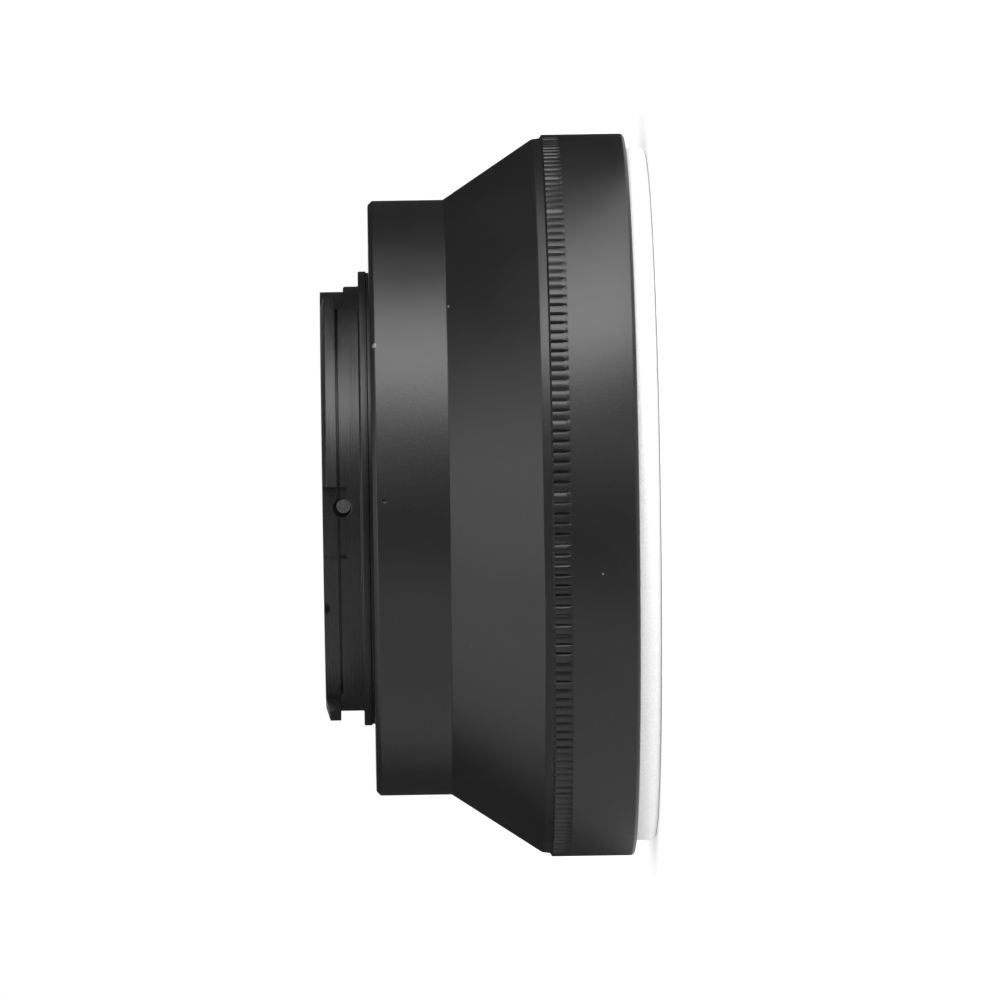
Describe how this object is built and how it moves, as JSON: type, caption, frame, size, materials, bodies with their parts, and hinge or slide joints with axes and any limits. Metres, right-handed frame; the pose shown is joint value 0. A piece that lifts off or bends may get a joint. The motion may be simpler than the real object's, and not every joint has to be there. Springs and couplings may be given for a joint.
{
  "type": "lens mount adapter",
  "caption": "Short conical adapter ring with a wide lens bayonet, a sprung release slider and a narrow camera bayonet.",
  "frame": {"origin": "centre of the lens seat, the outer face of the silver plate, on the optical axis", "axes": "+Z along the optical axis towards the camera, +Y through the release slider, so the side in the picture faces -Y"},
  "size_m": [0.0792, 0.082, 0.0358],
  "materials": {
    "barrel_black": "satin black anodised, finely bead-blasted",
    "bayonet_black": "semi-gloss black anodised, fine turning lines",
    "slider_black": "satin black anodised",
    "plate_silver": "satin silver, fine blasted texture",
    "pin_steel_dark": "blackened steel, turned end",
    "steel_bright": "ground steel",
    "spring_steel": "hardened strip and wire",
    "screw_steel": "bright steel",
    "screw_dark": "blackened steel",
    "bead_red": "glossy red enamel"
  },
  "bodies": {
    "housing": {"barrel": "barrel_black", "camera_bayonet": "bayonet_black", "stop_pin": "pin_steel_dark", "lens_mount_plate": "plate_silver", "camera_index_bead": "bead_red", "lens_index_bead": "bead_red", "plate_screw_1": "screw_steel", "plate_screw_2": "screw_steel", "plate_screw_3": "screw_steel", "plate_screw_4": "screw_steel", "plate_screw_5": "screw_steel", "plate_screw_6": "screw_steel", "bayonet_screw_1": "screw_dark", "bayonet_screw_2": "screw_dark", "bayonet_screw_3": "screw_dark", "bayonet_screw_4": "screw_dark", "lens_spring_1": "spring_steel", "lens_spring_2": "spring_steel", "lens_spring_3": "spring_steel", "spring_screw_1": "screw_steel", "spring_screw_2": "screw_steel", "spring_screw_3": "screw_steel", "lock_spring": "spring_steel"},
    "release": {"release_slider": "slider_black", "lock_pin": "steel_bright"}
  },
  "joints": [
    {"name": "release_slide", "type": "slide", "parent": "housing", "child": "release", "axis": [0, 0, 1], "range_m": [0, 0.0022], "stiffness_N_per_m": 400, "springref_m": -0.003, "deforming": ["lock_spring"]}
  ]
}
